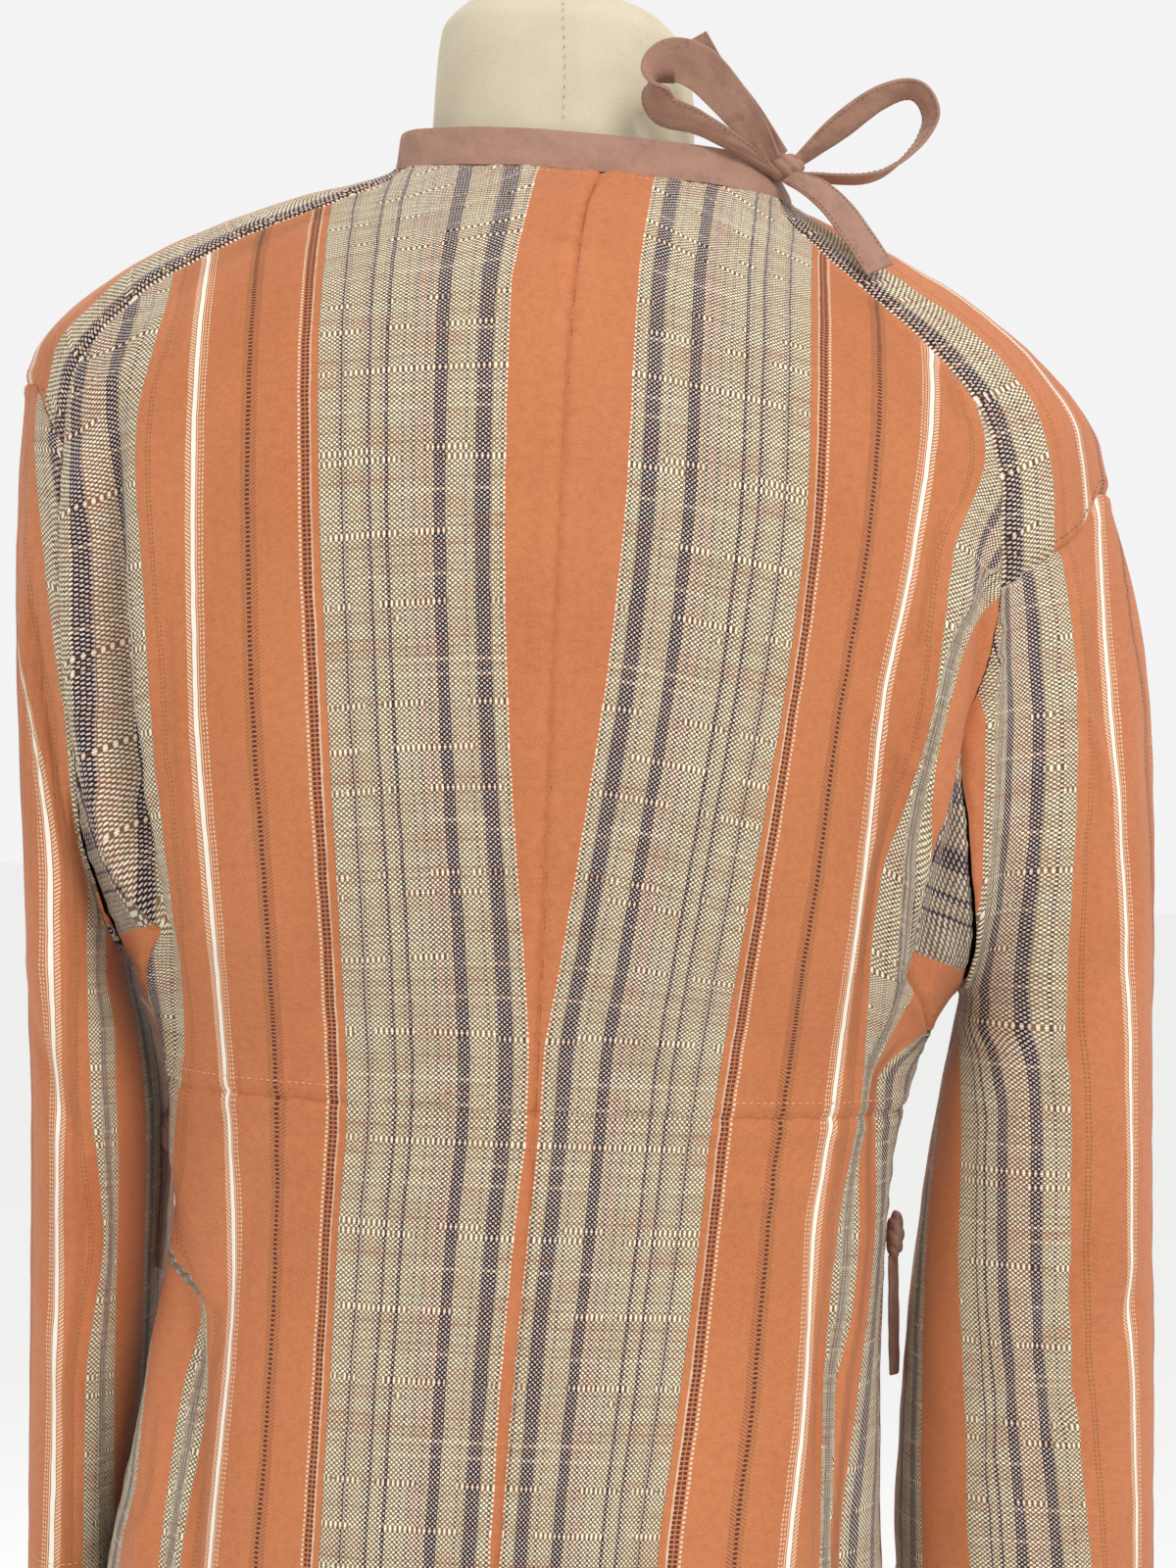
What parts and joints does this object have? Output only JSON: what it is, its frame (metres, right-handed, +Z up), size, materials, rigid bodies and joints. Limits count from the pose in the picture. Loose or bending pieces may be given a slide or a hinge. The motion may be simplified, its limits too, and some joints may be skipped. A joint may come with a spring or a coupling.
{
  "type": "tunic jacket on a dress form",
  "caption": "Collarless wrap tunic jacket of striped orange and beige cloth with long straight sleeves, dropped shoulders and a tied neck band, worn on a limbless canvas dress form and stand.",
  "frame": {"origin": "centre of the stand's underside, on the floor", "axes": "+Z up, -Y the wearer's back and +X the wearer's right"},
  "size_m": [0.5954, 0.34, 1.5793],
  "materials": {
    "striped_cloth": "burnt-orange twill and slubby beige basket weave in lengthwise stripes",
    "gusset_cloth": "beige basket weave cut across its stripes",
    "mauve_cotton": "plain mauve-brown cotton",
    "form_canvas": "cream canvas stretched over a moulded form",
    "stand_steel": "satin steel tube",
    "stand_iron": "black lacquered cast iron"
  },
  "bodies": {
    "root": {"back_lower_left": "striped_cloth", "back_lower_right": "striped_cloth", "back_upper_left": "striped_cloth", "back_upper_right": "striped_cloth", "bow_knot": "mauve_cotton", "bow_loop_left": "mauve_cotton", "bow_loop_right": "mauve_cotton", "bow_tail_down": "mauve_cotton", "bow_tail_up": "mauve_cotton", "form_torso": "form_canvas", "front_binding": "mauve_cotton", "front_over": "striped_cloth", "front_under": "striped_cloth", "gusset_left": "gusset_cloth", "gusset_right": "gusset_cloth", "neck_band": "mauve_cotton", "saddle_left": "striped_cloth", "saddle_right": "striped_cloth", "sleeve_left": "striped_cloth", "sleeve_right": "striped_cloth", "stand_base": "stand_iron", "stand_collar": "stand_iron", "stand_pole": "stand_steel", "tie_left_knot": "mauve_cotton", "tie_left_tail": "mauve_cotton", "tie_right_knot": "mauve_cotton", "tie_right_tail": "mauve_cotton"}
  },
  "joints": []
}
